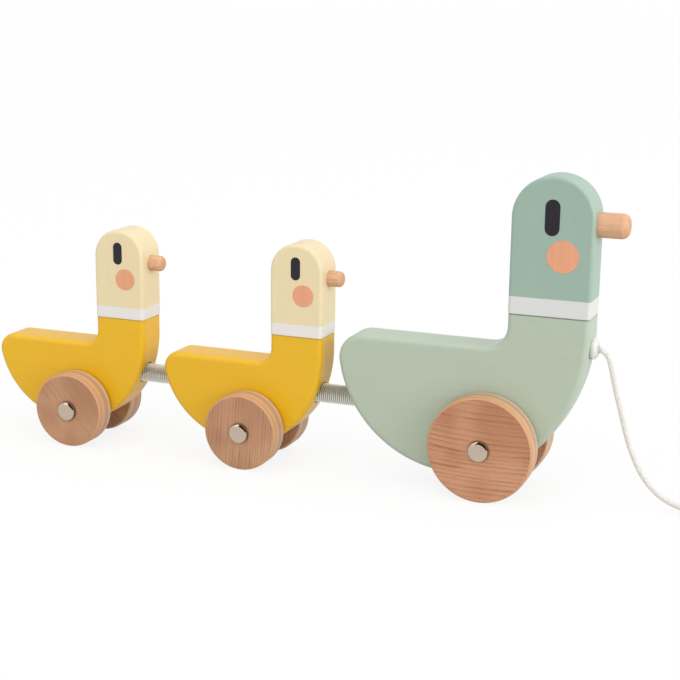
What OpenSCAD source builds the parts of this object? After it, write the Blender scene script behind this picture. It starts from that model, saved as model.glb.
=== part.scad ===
// Pull-along train of wooden ducks: a mother and two ducklings, each cut from thick board and
// carried on one axle, coupled by coil springs and drawn by a cord from the mother's chest.
// X points forward, Z up, and the origin lies on the floor under the middle of the train.
// Right is the -Y side and left the +Y side, as seen by the ducks.

/* [Boards] */
// Thickness of the board that bodies, collars and heads are cut from
board_t = 22; // [18:0.5:26]
// Radius sanded along the edges of the bodies
edge_r = 3; // [1:0.25:4]
// Radius sanded along the edges of the collars and heads
head_edge_r = 2; // [1:0.25:4]
// Edge broken on both sides of the seam under each collar
seam_break = 0.4; // [0.2:0.1:1]

/* [Mother] */
// Diameter of each wheel of the mother
mother_wheel_d = 57; // [46:0.5:64]
// Radius of the mother's belly curve
mother_belly_r = 65.8; // [60:0.2:72]
// Distance from the mother's axle back to the middle of the belly curve
mother_belly_back = 19.1; // [12:0.1:26]
// Height of the mother's belly above the floor
mother_belly_clear = 9.3; // [7:0.1:14]
// Height of the flat back above the middle of the mother's belly curve
mother_back_rise = 5.4; // [0:0.1:12]
// Radius of the mother's tail
mother_tail_r = 13.5; // [9:0.5:18]
// How far the front of the mother's neck stands ahead of the belly curve
mother_chest_lead = 5; // [2:0.5:10]
// Height above the middle of the belly curve at which the mother's chest turns upright
mother_chest_rise = 16.5; // [10:0.5:22]
// Depth of the mother's neck and head from back to front
mother_head_w = 43; // [36:0.5:50]
// Radius of the hollow between the mother's back and neck
mother_fillet_r = 12; // [6:0.5:16]
// Height of the mother's neck above the back
mother_neck_h = 19.2; // [17:0.2:26]
// Height of the mother's collar
mother_collar_h = 9.2; // [5:0.2:14]
// Height of the mother's head above the collar
mother_head_h = 62.4; // [54:0.2:72]
// Diameter of the mother's beak peg
mother_beak_d = 13; // [9:0.5:16]
// How far the mother's beak stands out of the head
mother_beak_out = 15.7; // [10:0.1:24]
// How far the beak lies below the middle of the mother's round head
mother_beak_drop = 2.8; // [0:0.1:8]
// Radius turned on the tip of the mother's beak peg
mother_beak_tip_r = 4; // [1:0.1:4.4]
// Width of each printed eye of the mother
mother_eye_w = 7.6; // [5:0.1:10]
// Height of each printed eye of the mother
mother_eye_h = 18.5; // [12:0.1:24]
// Height of the mother's eyes above the middle of the round head
mother_eye_up = 0.8; // [-3:0.1:3]
// How far the mother's eyes lie behind the middle of the head
mother_eye_back = 0.1; // [-2:0.1:4]
// Diameter of each printed cheek of the mother
mother_cheek_d = 16.7; // [11:0.1:19]
// How far the mother's cheeks lie ahead of the middle of the head
mother_cheek_ahead = 6.1; // [2:0.1:8]
// How far the mother's cheeks lie below the eyes
mother_cheek_down = 19.5; // [18:0.1:24]

/* [Ducklings] */
// Diameter of each wheel of a duckling
duckling_wheel_d = 43; // [36:0.5:50]
// Radius of a duckling's belly curve
duckling_belly_r = 48.2; // [45:0.2:54]
// Distance from a duckling's axle back to the middle of the belly curve
duckling_belly_back = 7; // [2:0.1:12]
// Height of a duckling's belly above the floor
duckling_belly_clear = 10.8; // [8:0.1:13]
// Height of the flat back above the middle of a duckling's belly curve
duckling_back_rise = 0.6; // [-2:0.1:6]
// Radius of a duckling's tail
duckling_tail_r = 9.5; // [6:0.5:10]
// How far the front of a duckling's neck stands ahead of the belly curve
duckling_chest_lead = 1.5; // [1:0.1:4]
// Height above the middle of the belly curve at which a duckling's chest turns upright
duckling_chest_rise = 7; // [4:0.5:12]
// Depth of a duckling's neck and head from back to front
duckling_head_w = 30.6; // [26:0.2:36]
// Radius of the hollow between a duckling's back and neck
duckling_fillet_r = 8; // [4:0.5:12]
// Height of a duckling's neck above the back
duckling_neck_h = 16.1; // [13:0.1:22]
// Height of a duckling's collar
duckling_collar_h = 6.8; // [4:0.1:10]
// Height of a duckling's head above the collar
duckling_head_h = 44.1; // [40:0.1:52]
// Diameter of a duckling's beak peg
duckling_beak_d = 8.7; // [6:0.1:12]
// How far a duckling's beak stands out of the head
duckling_beak_out = 8.3; // [6:0.1:14]
// How far the beak lies below the middle of a duckling's round head
duckling_beak_drop = 3.8; // [0:0.1:8]
// Radius turned on the tip of a duckling's beak peg
duckling_beak_tip_r = 2.5; // [0.8:0.1:2.9]
// Width of each printed eye of a duckling
duckling_eye_w = 5.4; // [3.5:0.1:7]
// Height of each printed eye of a duckling
duckling_eye_h = 12.6; // [9:0.1:16]
// Height of a duckling's eyes above the middle of the round head
duckling_eye_up = 2.1; // [-2:0.1:3]
// How far a duckling's eyes lie behind the middle of the head
duckling_eye_back = 0.1; // [-2:0.1:3]
// Diameter of each printed cheek of a duckling
duckling_cheek_d = 12.1; // [8:0.1:14]
// How far a duckling's cheeks lie ahead of the middle of the head
duckling_cheek_ahead = 4.4; // [1:0.1:5]
// How far a duckling's cheeks lie below the eyes
duckling_cheek_down = 14.7; // [14:0.1:18]

/* [Running gear] */
// Diameter of the steel axles
axle_d = 5; // [4:0.5:6]
// Thickness of the wheels
wheel_t = 13; // [9:0.5:18]
// Radius turned on the rims of the wheels
rim_r = 1.5; // [0.6:0.1:3]
// Radial play of a wheel on its axle
wheel_play = 0.06; // [0.03:0.01:0.1]
// Side play of a wheel between its washer and its hub cap
side_play = 0.2; // [0.1:0.05:0.5]
// Diameter of the washers between bodies and wheels
washer_d = 12; // [9:0.5:16]
// Thickness of the washers
washer_t = 0.8; // [0.5:0.1:2]
// Diameter of the hub caps
cap_d = 10.5; // [8.5:0.5:13]
// Height of the hub caps
cap_h = 2.4; // [1.8:0.1:4]
// Thickness of the closed end of a hub cap
cap_roof = 0.8; // [0.5:0.1:1.2]

/* [Glued pegs] */
// Diameter of the dowels that hold the heads
dowel_d = 8; // [6:0.5:10]
// Depth of each dowel in the body
dowel_down = 11; // [7:0.5:12]
// Depth of each dowel in the head
dowel_up = 11; // [8:0.5:14]
// Depth of each beak peg in the head
beak_in = 10; // [6:0.5:14]
// Radial room for glue around a peg
glue_gap = 0.05; // [0.02:0.01:0.15]
// Thickness of the printed eyes and cheeks
print_t = 0.15; // [0.1:0.05:0.4]

/* [Springs] */
// Height of the springs above the floor
spring_z = 42.8; // [40:0.1:45]
// Outside diameter of the springs
spring_d = 10.8; // [8:0.2:12]
// Diameter of the spring wire
wire_d = 1; // [0.7:0.05:1]
// Distance from one spring turn to the next
spring_pitch = 1.45; // [1.45:0.05:2.2]
// Length of front spring that shows between the mother and the front duckling
front_spring_gap = 21.8; // [16:0.1:28]
// Length of rear spring that shows between the two ducklings
rear_spring_gap = 18.4; // [14:0.2:24]
// Depth of each spring in its bore
spring_in = 9; // [6:0.5:12]
// Gap between each end of a spring and the bottom of its bore
spring_end_gap = 0.2; // [0.1:0.05:0.5]
// Length of each peg inside a spring
peg_l = 8; // [5:0.5:11]
// Radial room of a spring on its peg
spring_fit = 0.1; // [0.05:0.05:0.2]
// Radial room of a spring in its bore
spring_room = 0.6; // [0.2:0.1:1]

/* [Pull cord] */
// Diameter of the pull cord
cord_d = 3.2; // [2:0.1:3.2]
// Height of the cord hole above the mother's back
cord_rise = 2.4; // [1:0.1:3]
// Diameter of the plug that holds the cord in the chest
plug_d = 11.4; // [10:0.2:14]
// How far the plug stands out of the chest
plug_out = 3.6; // [2.5:0.1:5]
// Diameter of the plug's stem
plug_stem_d = 8; // [6.5:0.5:9]
// Length of the plug's stem
plug_stem_l = 11; // [8:0.5:13]
// Radial room of the cord in the plug
cord_play = 0.35; // [0.35:0.05:0.6]
// Diameter of the knot behind the plug
anchor_knot_d = 6.2; // [5:0.2:6.2]
// Diameter of the knot at the end of the cord
end_knot_d = 7.6; // [6:0.2:9]
// Distance from one turn of the coiled cord to the next
coil_step = 3.7; // [3.7:0.1:4.4]
// Outer radius of the coil, to the middle of the cord
coil_r = 20.5; // [18:0.5:24]
// Width of the tie round the coil
tie_w = 3; // [2:0.5:4]
// Thickness of the tie
tie_t = 0.4; // [0.3:0.05:0.6]
// Room between the tie and the coiled cord
tie_play = 0.25; // [0.25:0.05:0.4]

/* [Hidden] */
$fn = 64;
WHEEL_D = 0;
BELLY_R = 1;
BELLY_BACK = 2;
BELLY_CLEAR = 3;
BACK_RISE = 4;
TAIL_R = 5;
CHEST_LEAD = 6;
CHEST_RISE = 7;
HEAD_W = 8;
FILLET_R = 9;
NECK_H = 10;
COLLAR_H = 11;
HEAD_H = 12;
BEAK_D = 13;
BEAK_OUT = 14;
BEAK_DROP = 15;
EYE_W = 16;
EYE_H = 17;
EYE_UP = 18;
EYE_BACK = 19;
CHEEK_D = 20;
CHEEK_AHEAD = 21;
CHEEK_DOWN = 22;
BEAK_TIP_R = 23;

MOTHER = [
    mother_wheel_d, mother_belly_r, mother_belly_back, mother_belly_clear, mother_back_rise,
    mother_tail_r, mother_chest_lead, mother_chest_rise, mother_head_w, mother_fillet_r,
    mother_neck_h, mother_collar_h, mother_head_h, mother_beak_d, mother_beak_out,
    mother_beak_drop, mother_eye_w, mother_eye_h, mother_eye_up, mother_eye_back,
    mother_cheek_d, mother_cheek_ahead, mother_cheek_down, mother_beak_tip_r
];
DUCKLING = [
    duckling_wheel_d, duckling_belly_r, duckling_belly_back, duckling_belly_clear,
    duckling_back_rise, duckling_tail_r, duckling_chest_lead, duckling_chest_rise,
    duckling_head_w, duckling_fillet_r, duckling_neck_h, duckling_collar_h, duckling_head_h,
    duckling_beak_d, duckling_beak_out, duckling_beak_drop, duckling_eye_w, duckling_eye_h,
    duckling_eye_up, duckling_eye_back, duckling_cheek_d, duckling_cheek_ahead,
    duckling_cheek_down, duckling_beak_tip_r
];

SAGE = "#b9c4ae";
POND_GREEN = "#a3b9aa";
YELLOW = "#e6b433";
CREAM = "#ead9b4";
WHITE = "#dedddb";
BEECH = "#e3b084";
WHEEL_WOOD = "#c9936c";
INK = "#35343a";
CORAL = "#eaa384";
NICKEL = "#cfc8bd";
STEEL = "#a5a69f";
NYLON = "#e8e6e0";
COTTON = "#ece8e0";

RIGHT = -1;
LEFT = 1;

// Places in a duck's own frame: x from its axle and z from the floor
function axle_z(d) = d[WHEEL_D] / 2;
function belly_x(d) = -d[BELLY_BACK];
function belly_z(d) = d[BELLY_CLEAR] + d[BELLY_R];
function back_z(d) = belly_z(d) + d[BACK_RISE];
function tail_z(d) = back_z(d) - d[TAIL_R];
function tail_x(d) = belly_x(d) - sqrt((d[BELLY_R] - d[TAIL_R])^2 - (tail_z(d) - belly_z(d))^2);
function tail_angle(d) = 360 + atan2(tail_z(d) - belly_z(d), tail_x(d) - belly_x(d));
function neck_front(d) = belly_x(d) + d[BELLY_R] + d[CHEST_LEAD];
function neck_rear(d) = neck_front(d) - d[HEAD_W];
function chest_r(d) = d[BELLY_R] + d[CHEST_LEAD] / 2 + d[CHEST_RISE]^2 / (2 * d[CHEST_LEAD]);
function chest_x(d) = neck_front(d) - chest_r(d);
function chest_z(d) = belly_z(d) + d[CHEST_RISE];
function chest_angle(d) = atan2(belly_z(d) - chest_z(d), belly_x(d) - chest_x(d));
function collar_z(d) = back_z(d) + d[NECK_H];
function head_z(d) = collar_z(d) + d[COLLAR_H];
function head_x(d) = neck_front(d) - d[HEAD_W] / 2;
function dome_z(d) = head_z(d) + d[HEAD_H] - d[HEAD_W] / 2;
function eye_z(d) = dome_z(d) + d[EYE_UP];

// The x of the tail and of the chest at a height z
function tail_at(d, z) =
    z > belly_z(d) + d[BELLY_R] * sin(tail_angle(d))
    ? tail_x(d) - sqrt(d[TAIL_R]^2 - (z - tail_z(d))^2)
    : belly_x(d) - sqrt(d[BELLY_R]^2 - (z - belly_z(d))^2);
function chest_at(d, z) =
    z > belly_z(d) + d[BELLY_R] * sin(chest_angle(d))
    ? chest_x(d) + sqrt(chest_r(d)^2 - (z - chest_z(d))^2)
    : belly_x(d) + sqrt(d[BELLY_R]^2 - (z - belly_z(d))^2);

// Places of the three axles along the train
front_spacing = front_spring_gap - tail_at(MOTHER, spring_z) + chest_at(DUCKLING, spring_z);
rear_spacing = rear_spring_gap - tail_at(DUCKLING, spring_z) + chest_at(DUCKLING, spring_z);
nose_reach = neck_front(MOTHER) + mother_beak_out;
tail_reach = front_spacing + rear_spacing - tail_x(DUCKLING) + duckling_tail_r;
mother_x = (tail_reach - nose_reach) / 2;
front_x = mother_x - front_spacing;
rear_x = front_x - rear_spacing;

// Places across the train
washer_y = board_t / 2 + washer_t;
wheel_y = washer_y + side_play;
cap_y = wheel_y + wheel_t + side_play;

// Route of the free cord, ahead of the mother's axle: out of the plug, down to the floor, to the coil
CORD_ROUTE = [
    [41, 0, 82.9], [46, 0, 82.9], [51, 0, 82.9], [54.4, 0, 82.8], [57.3, 0, 82], [59.5, 0, 80.1],
    [60.9, 0, 77.4], [61.9, 0, 74], [63.1, 0, 69.5], [65.1, 0, 61.5], [68, 0, 51.5],
    [71.5, 0, 39.5], [74.5, 0, 31], [78, 0, 23.5], [82, 0, 17], [87.5, 0, 11], [93, 0, 7.1],
    [100, 0, 4.3], [107, 0, 2.8], [114, 0, 2], [121, 0, 1.7], [128, 0, 1.8], [135, 0, 2.1],
    [140, 0, 2.3]
];
coil_start = CORD_ROUTE[len(CORD_ROUTE) - 1];
COIL_LAYER_TURNS = 2;
COIL_TURNS = 2 * COIL_LAYER_TURNS + 0.5;
COIL_TAIL = 15;
FLOOR_PLAY = 0.1;
LOOP_RINGS = 24;
CURL_RINGS = 8;
TUBE_SIDES = 6;
CORD_SIDES = 8;
EDGE_STEPS = 4;
CUT = 1;

// Round stretch of an outline, as points from one angle to another
function arc(x, z, r, from, to, steps) =
    [for (i = [0:steps]) let (a = from + (to - from) * i / steps) [x + r * cos(a), z + r * sin(a)]];

function after_first(points) = [for (i = [1:len(points) - 1]) points[i]];

// Outlines drawn in by an inset, all counter-clockwise as seen from the right
function body_outline(d, inset) = concat(
    arc(tail_x(d), tail_z(d), d[TAIL_R] - inset, 90, tail_angle(d), 8),
    after_first(arc(belly_x(d), belly_z(d), d[BELLY_R] - inset, tail_angle(d), 360 + chest_angle(d), 26)),
    after_first(arc(chest_x(d), chest_z(d), chest_r(d) - inset, chest_angle(d), 0, 10)),
    [
        [neck_front(d) - inset, collar_z(d) - min(inset, seam_break)],
        [neck_rear(d) + inset, collar_z(d) - min(inset, seam_break)]
    ],
    arc(neck_rear(d) - d[FILLET_R], back_z(d) + d[FILLET_R], d[FILLET_R] + inset, 0, -90, 8)
);
function collar_outline(d, inset) = [
    [neck_rear(d) + inset, collar_z(d) + min(inset, seam_break)],
    [neck_front(d) - inset, collar_z(d) + min(inset, seam_break)],
    [neck_front(d) - inset, head_z(d)],
    [neck_rear(d) + inset, head_z(d)]
];
function head_outline(d, inset) = concat(
    [
        [neck_rear(d) + inset, head_z(d)],
        [neck_front(d) - inset, head_z(d)]
    ],
    arc(head_x(d), dome_z(d), d[HEAD_W] / 2 - inset, 0, 180, 24)
);

// Sections across the board: how far each is from its middle and how far its outline is drawn in
function edge_sections(r) = let (flat = board_t / 2 - r) concat(
    [for (i = [EDGE_STEPS:-1:0]) let (a = 90 * i / EDGE_STEPS)
        [-flat - r * sin(a), r * (1 - cos(a))]],
    [for (i = [0:EDGE_STEPS]) let (a = 90 * i / EDGE_STEPS)
        [flat + r * sin(a), r * (1 - cos(a))]]
);

// Board whose outlines, one for each section, are skinned into one solid with round edges;
// the middle is a place on the faces from which all of the outline is seen
module rounded_board(outlines, middle, r) {
    sections = edge_sections(r);
    n = len(outlines[0]);
    last = len(sections) - 1;
    right = n * len(sections);
    left = right + 1;
    polyhedron(
        points = concat(
            [for (k = [0:last]) for (p = outlines[k]) [p[0], sections[k][0], p[1]]],
            [for (y = [-board_t / 2, board_t / 2]) [middle[0], y, middle[1]]]
        ),
        faces = concat(
            [for (i = [0:n - 1]) [right, (i + 1) % n, i]],
            [for (k = [0:last - 1]) for (i = [0:n - 1]) let (j = (i + 1) % n)
                [k * n + i, k * n + j, (k + 1) * n + j]],
            [for (k = [0:last - 1]) for (i = [0:n - 1]) let (j = (i + 1) % n)
                [k * n + i, (k + 1) * n + j, (k + 1) * n + i]],
            [for (i = [0:n - 1]) [left, last * n + i, last * n + (i + 1) % n]]
        )
    );
}

// Round tube along points, with a vector across the tube at each of them
function unit(v) = v / norm(v);
function heading(points, i) = unit(points[min(i + 1, len(points) - 1)] - points[max(i - 1, 0)]);
module tube(points, across, d, sides) {
    n = len(points);
    polyhedron(
        points = [for (i = [0:n - 1]) for (k = [0:sides - 1])
            let (a = 360 * k / sides, s = across[i], b = unit(cross(heading(points, i), s)))
            points[i] + d / 2 * (cos(a) * s + sin(a) * b)],
        faces = concat(
            [for (k = [1:sides - 2]) [0, k, k + 1]],
            [for (i = [0:n - 2]) for (k = [0:sides - 1]) let (j = (k + 1) % sides)
                [i * sides + k, (i + 1) * sides + k, (i + 1) * sides + j]],
            [for (i = [0:n - 2]) for (k = [0:sides - 1]) let (j = (k + 1) % sides)
                [i * sides + k, (i + 1) * sides + j, i * sides + j]],
            [for (k = [1:sides - 2]) let (e = (n - 1) * sides) [e, e + k + 1, e + k]]
        )
    );
}

// Least gap of a tube to itself, past the points that lie next to each other along it
function own_gap(points, d, skip) =
    min([for (i = [0:len(points) - 1 - skip]) for (j = [i + skip:len(points) - 1])
        norm(points[i] - points[j])]) - d;

// Spring wire: curls along X, with each end turned straight into the bottom of its bore
function spring_length(gap) = gap + 2 * spring_in - 2 * spring_end_gap;
function curl_count(gap) = floor((spring_length(gap) - 2 * wire_d) / spring_pitch * CURL_RINGS);
function curl_ray(i) = [0, sin(360 * i / CURL_RINGS), cos(360 * i / CURL_RINGS)];
function spring_points(gap) = let (
    n = curl_count(gap),
    r = (spring_d - wire_d) / 2,
    helix = spring_length(gap) - 2 * wire_d
) concat(
    [r * curl_ray(0)],
    [for (i = [0:n]) [wire_d + helix * i / n, 0, 0] + r * curl_ray(i)],
    [[spring_length(gap), 0, 0] + r * curl_ray(n)]
);
function spring_across(gap) = let (n = curl_count(gap)) concat(
    [curl_ray(0)],
    [for (i = [0:n]) curl_ray(i)],
    [curl_ray(n)]
);

// Coiled cord: spirals in on the floor, climbs a layer in half a turn and spirals out again,
// and then comes down beside the coil to the end knot
function coil_spot(t) = let (
    r = coil_r - coil_step * min(t, COIL_TURNS - t),
    climb = max(0, min(1, (t - COIL_LAYER_TURNS) * 2)),
    a = 360 * t - 90
) [r * cos(a), coil_r + r * sin(a), coil_step * climb * climb * (3 - 2 * climb)];
coil_leave = coil_start + coil_spot(COIL_TURNS);
coil_drop = coil_leave[2] - end_knot_d / 2 - FLOOR_PLAY;
coil_points = concat(
    [for (i = [0:COIL_TURNS * LOOP_RINGS]) coil_start + coil_spot(i / LOOP_RINGS)],
    [for (t = [1 / 3, 2 / 3, 1]) coil_leave - [COIL_TAIL * t, 0, coil_drop * t * t * (3 - 2 * t)]],
    [coil_leave - [COIL_TAIL + cord_d, 0, coil_drop]]
);
coil_end = coil_points[len(coil_points) - 1];
function level(points) = [for (i = [0:len(points) - 1]) unit(cross([0, 0, 1], heading(points, i)))];

// What each duck is made of, in its own frame
module along_x(x, z) {
    translate([x, 0, z])
        rotate([0, 90, 0])
            children();
}
module across_y(z, y, side) {
    translate([0, side * y, z])
        rotate([-90 * side, 0, 0])
            children();
}
module duck_board(d) {
    outlines = [for (s = edge_sections(edge_r)) body_outline(d, s[1])];
    rounded_board(outlines, [head_x(d), back_z(d) - 2 * edge_r], edge_r);
}
module axle_bore(d) {
    across_y(axle_z(d), -board_t / 2 - CUT, LEFT)
        cylinder(h = board_t + 2 * CUT, d = axle_d);
}
module neck_bore(d, depth) {
    translate([head_x(d), 0, collar_z(d) - depth])
        cylinder(h = depth + CUT, d = dowel_d + 2 * glue_gap);
}
module tail_bore(d) {
    along_x(tail_at(d, spring_z) - spring_d, spring_z)
        cylinder(h = spring_d + spring_in, d = spring_d + 2 * spring_room);
}
module chest_bore(d) {
    along_x(chest_at(d, spring_z) - spring_in, spring_z)
        cylinder(h = spring_d + spring_in, d = spring_d + 2 * spring_room);
}
module duck_collar(d) {
    outlines = [for (s = edge_sections(head_edge_r)) collar_outline(d, s[1])];
    difference() {
        rounded_board(outlines, [head_x(d), collar_z(d) + d[COLLAR_H] / 2], head_edge_r);
        translate([head_x(d), 0, collar_z(d) - CUT])
            cylinder(h = d[COLLAR_H] + 2 * CUT, d = dowel_d + 2 * glue_gap);
    }
}
module duck_head(d) {
    outlines = [for (s = edge_sections(head_edge_r)) head_outline(d, s[1])];
    difference() {
        rounded_board(outlines, [head_x(d), dome_z(d)], head_edge_r);
        translate([head_x(d), 0, head_z(d) - CUT])
            cylinder(h = dowel_up + CUT, d = dowel_d + 2 * glue_gap);
        along_x(neck_front(d) - beak_in, dome_z(d) - d[BEAK_DROP])
            cylinder(h = beak_in + CUT, d = d[BEAK_D] + 2 * glue_gap);
    }
}
module duck_beak(d) {
    r = d[BEAK_D] / 2;
    tip_r = d[BEAK_TIP_R];
    length = beak_in + d[BEAK_OUT];
    along_x(neck_front(d) - beak_in, dome_z(d) - d[BEAK_DROP])
        rotate_extrude()
            polygon(concat(
                [[0, 0], [r, 0]],
                arc(r - tip_r, length - tip_r, tip_r, 0, 90, 8),
                [[0, length]]
            ));
}
module duck_dowel(d) {
    translate([head_x(d), 0, collar_z(d) - dowel_down])
        cylinder(h = dowel_down + d[COLLAR_H] + dowel_up, d = dowel_d);
}
module duck_axle(d) {
    reach = cap_y + cap_h - cap_roof;
    across_y(axle_z(d), -reach, LEFT)
        cylinder(h = 2 * reach, d = axle_d);
}
module duck_wheel(d, side) {
    r = d[WHEEL_D] / 2;
    bore = axle_d / 2 + wheel_play;
    across_y(axle_z(d), wheel_y, side)
        rotate_extrude()
            polygon(concat(
                [[bore, 0]],
                arc(r - rim_r, rim_r, rim_r, -90, 0, 4),
                arc(r - rim_r, wheel_t - rim_r, rim_r, 0, 90, 4),
                [[bore, wheel_t]]
            ));
}
module duck_caps(d) {
    round_r = cap_roof;
    for (side = [RIGHT, LEFT])
        across_y(axle_z(d), cap_y, side)
            difference() {
                rotate_extrude()
                    polygon(concat(
                        [[0, 0], [cap_d / 2, 0]],
                        arc(cap_d / 2 - round_r, cap_h - round_r, round_r, 0, 90, 5),
                        [[0, cap_h]]
                    ));
                translate([0, 0, -CUT])
                    cylinder(h = cap_h - cap_roof + CUT, d = axle_d);
            }
}
module duck_washers(d) {
    for (side = [RIGHT, LEFT])
        across_y(axle_z(d), board_t / 2, side)
            difference() {
                cylinder(h = washer_t, d = washer_d);
                translate([0, 0, -CUT])
                    cylinder(h = washer_t + 2 * CUT, d = axle_d + 2 * wheel_play);
            }
}
module duck_eyes(d) {
    r = d[EYE_W] / 2;
    half = d[EYE_H] / 2 - r;
    for (side = [RIGHT, LEFT])
        translate([head_x(d) - d[EYE_BACK], side * (board_t + print_t) / 2, eye_z(d)])
            rotate([90, 0, 0])
                linear_extrude(height = print_t, center = true)
                    polygon(concat(arc(0, half, r, 0, 180, 12), arc(0, -half, r, 180, 360, 12)));
}
module duck_cheeks(d) {
    for (side = [RIGHT, LEFT])
        translate([head_x(d) + d[CHEEK_AHEAD], 0, 0])
            across_y(eye_z(d) - d[CHEEK_DOWN], board_t / 2, side)
                cylinder(h = print_t, d = d[CHEEK_D]);
}
module spring_peg(x) {
    curl_r = (spring_d - wire_d) / 2 * cos(180 / CURL_RINGS);
    along_x(x, spring_z)
        cylinder(h = peg_l, r = curl_r - wire_d / 2 - spring_fit);
}
module tail_peg(d) {
    spring_peg(tail_at(d, spring_z) + spring_in - peg_l);
}
module chest_peg(d) {
    spring_peg(chest_at(d, spring_z) - spring_in);
}

// Places of the ducks along the train
module at_mother() {
    translate([mother_x, 0, 0])
        children();
}
module at_front() {
    translate([front_x, 0, 0])
        children();
}
module at_rear() {
    translate([rear_x, 0, 0])
        children();
}

// The mother
plug_z = back_z(MOTHER) + cord_rise;
module mother_body() {
    bore_l = plug_stem_l + anchor_knot_d + 2 * cord_play;
    color(SAGE)
        at_mother()
            difference() {
                duck_board(MOTHER);
                axle_bore(MOTHER);
                neck_bore(MOTHER, dowel_down);
                tail_bore(MOTHER);
                along_x(neck_front(MOTHER) - bore_l, plug_z)
                    cylinder(h = bore_l + CUT, d = plug_stem_d + 2 * glue_gap);
            }
}
module mother_collar() {
    color(WHITE)
        at_mother()
            duck_collar(MOTHER);
}
module mother_head() {
    color(POND_GREEN)
        at_mother()
            duck_head(MOTHER);
}
module mother_beak() {
    color(BEECH)
        at_mother()
            duck_beak(MOTHER);
}
module mother_neck_dowel() {
    color(BEECH)
        at_mother()
            duck_dowel(MOTHER);
}
module mother_axle() {
    color(STEEL)
        at_mother()
            duck_axle(MOTHER);
}
module mother_wheel_right() {
    color(WHEEL_WOOD)
        at_mother()
            duck_wheel(MOTHER, RIGHT);
}
module mother_wheel_left() {
    color(WHEEL_WOOD)
        at_mother()
            duck_wheel(MOTHER, LEFT);
}
module mother_hub_caps() {
    color(NICKEL)
        at_mother()
            duck_caps(MOTHER);
}
module mother_washers() {
    color(NYLON)
        at_mother()
            duck_washers(MOTHER);
}
module mother_eyes() {
    color(INK)
        at_mother()
            duck_eyes(MOTHER);
}
module mother_cheeks() {
    color(CORAL)
        at_mother()
            duck_cheeks(MOTHER);
}
module mother_spring_peg() {
    color(BEECH)
        at_mother()
            tail_peg(MOTHER);
}

// The front duckling, between the mother and the rear duckling
module front_duckling_body() {
    color(YELLOW)
        at_front()
            difference() {
                duck_board(DUCKLING);
                axle_bore(DUCKLING);
                neck_bore(DUCKLING, dowel_down);
                tail_bore(DUCKLING);
                chest_bore(DUCKLING);
            }
}
module front_duckling_collar() {
    color(WHITE)
        at_front()
            duck_collar(DUCKLING);
}
module front_duckling_head() {
    color(CREAM)
        at_front()
            duck_head(DUCKLING);
}
module front_duckling_beak() {
    color(BEECH)
        at_front()
            duck_beak(DUCKLING);
}
module front_duckling_neck_dowel() {
    color(BEECH)
        at_front()
            duck_dowel(DUCKLING);
}
module front_duckling_axle() {
    color(STEEL)
        at_front()
            duck_axle(DUCKLING);
}
module front_duckling_wheel_right() {
    color(WHEEL_WOOD)
        at_front()
            duck_wheel(DUCKLING, RIGHT);
}
module front_duckling_wheel_left() {
    color(WHEEL_WOOD)
        at_front()
            duck_wheel(DUCKLING, LEFT);
}
module front_duckling_hub_caps() {
    color(NICKEL)
        at_front()
            duck_caps(DUCKLING);
}
module front_duckling_washers() {
    color(NYLON)
        at_front()
            duck_washers(DUCKLING);
}
module front_duckling_eyes() {
    color(INK)
        at_front()
            duck_eyes(DUCKLING);
}
module front_duckling_cheeks() {
    color(CORAL)
        at_front()
            duck_cheeks(DUCKLING);
}
module front_duckling_spring_pegs() {
    color(BEECH)
        at_front() {
            chest_peg(DUCKLING);
            tail_peg(DUCKLING);
        }
}

// The rear duckling, last in the train
module rear_duckling_body() {
    color(YELLOW)
        at_rear()
            difference() {
                duck_board(DUCKLING);
                axle_bore(DUCKLING);
                neck_bore(DUCKLING, dowel_down);
                chest_bore(DUCKLING);
            }
}
module rear_duckling_collar() {
    color(WHITE)
        at_rear()
            duck_collar(DUCKLING);
}
module rear_duckling_head() {
    color(CREAM)
        at_rear()
            duck_head(DUCKLING);
}
module rear_duckling_beak() {
    color(BEECH)
        at_rear()
            duck_beak(DUCKLING);
}
module rear_duckling_neck_dowel() {
    color(BEECH)
        at_rear()
            duck_dowel(DUCKLING);
}
module rear_duckling_axle() {
    color(STEEL)
        at_rear()
            duck_axle(DUCKLING);
}
module rear_duckling_wheel_right() {
    color(WHEEL_WOOD)
        at_rear()
            duck_wheel(DUCKLING, RIGHT);
}
module rear_duckling_wheel_left() {
    color(WHEEL_WOOD)
        at_rear()
            duck_wheel(DUCKLING, LEFT);
}
module rear_duckling_hub_caps() {
    color(NICKEL)
        at_rear()
            duck_caps(DUCKLING);
}
module rear_duckling_washers() {
    color(NYLON)
        at_rear()
            duck_washers(DUCKLING);
}
module rear_duckling_eyes() {
    color(INK)
        at_rear()
            duck_eyes(DUCKLING);
}
module rear_duckling_cheeks() {
    color(CORAL)
        at_rear()
            duck_cheeks(DUCKLING);
}
module rear_duckling_spring_peg() {
    color(BEECH)
        at_rear()
            chest_peg(DUCKLING);
}

// The springs that couple the ducks
module spring(gap) {
    points = spring_points(gap);
    echo(str("Least gap between spring turns: ", own_gap(points, wire_d, CURL_RINGS / 2 + 1), " mm"));
    tube(points, spring_across(gap), wire_d, TUBE_SIDES);
}
module front_spring() {
    color(STEEL)
        at_front()
            translate([chest_at(DUCKLING, spring_z) - spring_in + spring_end_gap, 0, spring_z])
                spring(front_spring_gap);
}
module rear_spring() {
    color(STEEL)
        at_rear()
            translate([chest_at(DUCKLING, spring_z) - spring_in + spring_end_gap, 0, spring_z])
                spring(rear_spring_gap);
}

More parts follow.
